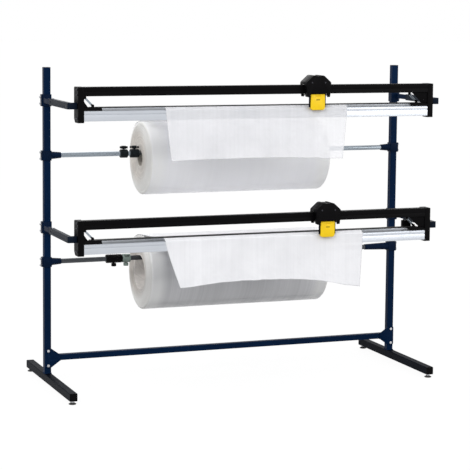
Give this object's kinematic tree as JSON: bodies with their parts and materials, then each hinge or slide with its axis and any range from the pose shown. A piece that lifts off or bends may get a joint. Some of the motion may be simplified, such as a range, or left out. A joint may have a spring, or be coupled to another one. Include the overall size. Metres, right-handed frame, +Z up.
{
  "type": "film cutter stand",
  "caption": "Floor-standing two-tier roll stand with two film cutting units: posts on feet, roll axles, guide rails with sliding cutters, film clamps and draped film.",
  "frame": {"origin": "On the floor, at the middle of the whole stand in width and depth, under its four levelling pads.", "axes": "+X to the right of someone standing in front of the cutting units, +Y to the rear, +Z up. The cutting units and the hanging film face -Y."},
  "size_m": [2.0234, 0.886, 1.632],
  "materials": {
    "post_paint": "satin",
    "foot_paint": "satin",
    "clamp_paint": "satin",
    "arm_paint": "satin",
    "black_anodised": "satin",
    "bare_aluminium": "satin",
    "bright_steel": "polished",
    "zinc_screw": "polished",
    "black_plastic": "matte",
    "yellow_plastic": "gloss",
    "glide_plastic": "matte",
    "blade_steel": "polished",
    "core_board": "matte",
    "wound_film": "satin",
    "sheet_film": "satin",
    "grey_collar": "satin",
    "pad_rubber": "matte"
  },
  "bodies": {
    "stand": {"arm_clamps": "clamp_paint", "arm_lower_left": "arm_paint", "arm_lower_right": "arm_paint", "arm_upper_left": "arm_paint", "arm_upper_right": "arm_paint", "axle_lower": "bright_steel", "axle_sockets": "clamp_paint", "axle_upper": "bright_steel", "bar_end_blocks": "black_plastic", "clamp_bolts": "zinc_screw", "crossbar": "post_paint", "cutting_bar_lower": "bare_aluminium", "cutting_bar_upper": "bare_aluminium", "end_brackets_lower": "black_anodised", "end_brackets_upper": "black_anodised", "film_web_lower": "sheet_film", "film_web_upper": "sheet_film", "foot_end_caps": "black_plastic", "foot_left": "foot_paint", "foot_right": "foot_paint", "frame_bolts": "zinc_screw", "guide_rail_lower": "black_anodised", "guide_rail_upper": "black_anodised", "gusset_plates": "post_paint", "post_caps": "black_plastic", "post_left": "post_paint", "post_right": "post_paint", "unit_screws": "zinc_screw"},
    "carriage_upper": {"carriage_hood_upper": "black_plastic", "carriage_glides_upper": "glide_plastic", "blade_frame_upper": "black_anodised"},
    "cutter_upper": {"blade_holder_upper": "yellow_plastic", "blade_upper": "blade_steel"},
    "roll_upper": {"film_roll_upper": "wound_film", "roll_core_upper": "core_board"},
    "clamp_bar_upper": {"clamp_bar_upper": "black_anodised"},
    "clamp_link_left_upper": {"clamp_link_left_upper": "bright_steel"},
    "clamp_link_right_upper": {"clamp_link_right_upper": "bright_steel"},
    "carriage_lower": {"carriage_hood_lower": "black_plastic", "carriage_glides_lower": "glide_plastic", "blade_frame_lower": "black_anodised"},
    "cutter_lower": {"blade_holder_lower": "yellow_plastic", "blade_lower": "blade_steel"},
    "roll_lower": {"film_roll_lower": "wound_film", "roll_core_lower": "core_board"},
    "clamp_bar_lower": {"clamp_bar_lower": "black_anodised"},
    "clamp_link_left_lower": {"clamp_link_left_lower": "bright_steel"},
    "clamp_link_right_lower": {"clamp_link_right_lower": "bright_steel"},
    "collar_upper_outer_left": {"collar_upper_outer_left": "grey_collar"},
    "collar_upper_inner_left": {"collar_upper_inner_left": "grey_collar"},
    "collar_upper_right": {"collar_upper_right": "grey_collar"},
    "collar_lower_outer_left": {"collar_lower_outer_left": "black_plastic"},
    "collar_lower_inner_left": {"collar_lower_inner_left": "grey_collar"},
    "collar_lower_right": {"collar_lower_right": "grey_collar"},
    "levelling_foot_front_left": {"levelling_foot_front_left": "pad_rubber"},
    "levelling_foot_rear_left": {"levelling_foot_rear_left": "pad_rubber"},
    "levelling_foot_front_right": {"levelling_foot_front_right": "pad_rubber"},
    "levelling_foot_rear_right": {"levelling_foot_rear_right": "pad_rubber"}
  },
  "joints": [
    {"name": "carriage_slide_upper", "type": "slide", "parent": "stand", "child": "carriage_upper", "axis": [1, 0, 0], "range_m": [-1.129, 0.481]},
    {"name": "blade_press_upper", "type": "slide", "parent": "carriage_upper", "child": "cutter_upper", "axis": [0, 0, -1], "range_m": [0, 0.005], "stiffness_N_per_m": 800, "springref_m": -0.006},
    {"name": "roll_spin_upper", "type": "hinge", "parent": "stand", "child": "roll_upper", "pos_m": [0.023, 0.093, 1.1588], "axis": [1, 0, 0], "continuous": true},
    {"name": "clamp_lift_upper", "type": "hinge", "parent": "stand", "child": "clamp_link_left_upper", "pos_m": [-0.91, -0.373, 1.504], "axis": [0, -1, 0], "range_deg": [0, 25]},
    {"name": "clamp_level_upper", "type": "hinge", "parent": "clamp_link_left_upper", "child": "clamp_bar_upper", "pos_m": [-0.8704, -0.373, 1.4644], "axis": [0, -1, 0], "range_deg": [-25, 0]},
    {"name": "clamp_link_upper", "type": "hinge", "parent": "stand", "child": "clamp_link_right_upper", "pos_m": [0.835, -0.373, 1.504], "axis": [0, -1, 0], "range_deg": [0, 25]},
    {"name": "carriage_slide_lower", "type": "slide", "parent": "stand", "child": "carriage_lower", "axis": [1, 0, 0], "range_m": [-1.194, 0.416]},
    {"name": "blade_press_lower", "type": "slide", "parent": "carriage_lower", "child": "cutter_lower", "axis": [0, 0, -1], "range_m": [0, 0.005], "stiffness_N_per_m": 800, "springref_m": -0.006},
    {"name": "roll_spin_lower", "type": "hinge", "parent": "stand", "child": "roll_lower", "pos_m": [0.023, 0.093, 0.5618], "axis": [1, 0, 0], "continuous": true},
    {"name": "clamp_lift_lower", "type": "hinge", "parent": "stand", "child": "clamp_link_left_lower", "pos_m": [-0.91, -0.373, 0.855], "axis": [0, -1, 0], "range_deg": [0, 25]},
    {"name": "clamp_level_lower", "type": "hinge", "parent": "clamp_link_left_lower", "child": "clamp_bar_lower", "pos_m": [-0.8704, -0.373, 0.8154], "axis": [0, -1, 0], "range_deg": [-25, 0]},
    {"name": "clamp_link_lower", "type": "hinge", "parent": "stand", "child": "clamp_link_right_lower", "pos_m": [0.835, -0.373, 0.855], "axis": [0, -1, 0], "range_deg": [0, 25]},
    {"name": "collar_upper_outer_left_slide", "type": "slide", "parent": "stand", "child": "collar_upper_outer_left", "axis": [1, 0, 0], "range_m": [-0.31, 0.005]},
    {"name": "collar_upper_inner_left_slide", "type": "slide", "parent": "stand", "child": "collar_upper_inner_left", "axis": [1, 0, 0], "range_m": [-0.005, 0.006]},
    {"name": "collar_upper_right_slide", "type": "slide", "parent": "stand", "child": "collar_upper_right", "axis": [1, 0, 0], "range_m": [-0.006, 0.3]},
    {"name": "collar_lower_outer_left_slide", "type": "slide", "parent": "stand", "child": "collar_lower_outer_left", "axis": [1, 0, 0], "range_m": [-0.23, 0]},
    {"name": "collar_lower_inner_left_slide", "type": "slide", "parent": "stand", "child": "collar_lower_inner_left", "axis": [1, 0, 0], "range_m": [0, 0.05]},
    {"name": "collar_lower_right_slide", "type": "slide", "parent": "stand", "child": "collar_lower_right", "axis": [1, 0, 0], "range_m": [-0.006, 0.22]},
    {"name": "levelling_foot_front_left_screw", "type": "slide", "parent": "stand", "child": "levelling_foot_front_left", "axis": [0, 0, 1], "range_m": [-0.015, 0]},
    {"name": "levelling_foot_rear_left_screw", "type": "slide", "parent": "stand", "child": "levelling_foot_rear_left", "axis": [0, 0, 1], "range_m": [-0.015, 0]},
    {"name": "levelling_foot_front_right_screw", "type": "slide", "parent": "stand", "child": "levelling_foot_front_right", "axis": [0, 0, 1], "range_m": [-0.015, 0]},
    {"name": "levelling_foot_rear_right_screw", "type": "slide", "parent": "stand", "child": "levelling_foot_rear_right", "axis": [0, 0, 1], "range_m": [-0.015, 0]}
  ],
  "couplings": [
    {"joint": "clamp_level_upper", "follows": "clamp_lift_upper", "ratio": -1},
    {"joint": "clamp_link_upper", "follows": "clamp_lift_upper", "ratio": 1},
    {"joint": "clamp_level_lower", "follows": "clamp_lift_lower", "ratio": -1},
    {"joint": "clamp_link_lower", "follows": "clamp_lift_lower", "ratio": 1}
  ]
}
